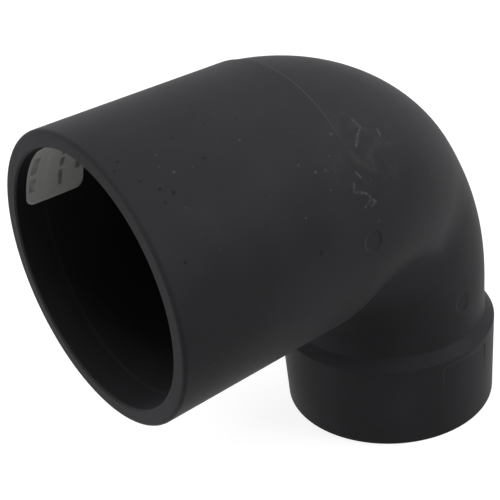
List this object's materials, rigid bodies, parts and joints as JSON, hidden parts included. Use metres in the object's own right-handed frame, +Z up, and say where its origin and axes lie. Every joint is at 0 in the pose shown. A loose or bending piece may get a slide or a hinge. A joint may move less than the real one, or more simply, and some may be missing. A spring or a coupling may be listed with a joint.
{
  "type": "reducing closet elbow",
  "caption": "Right-angle drain elbow with a long plain spigot end turning down into a smaller pipe socket, moulded in one piece.",
  "frame": {"origin": "centre of the socket's mouth, on the socket's axis", "axes": "+Z up the socket's axis, -X out of the long barrel's mouth, the two axes lie in the XZ plane"},
  "size_m": [0.1959, 0.1142, 0.1787],
  "materials": {
    "black_plastic": "smooth satin moulded plastic with faint scuffs",
    "paper_label": "matt white paper sticker, slightly soiled"
  },
  "bodies": {
    "root": {"elbow_body": "black_plastic", "label": "paper_label"}
  },
  "joints": []
}
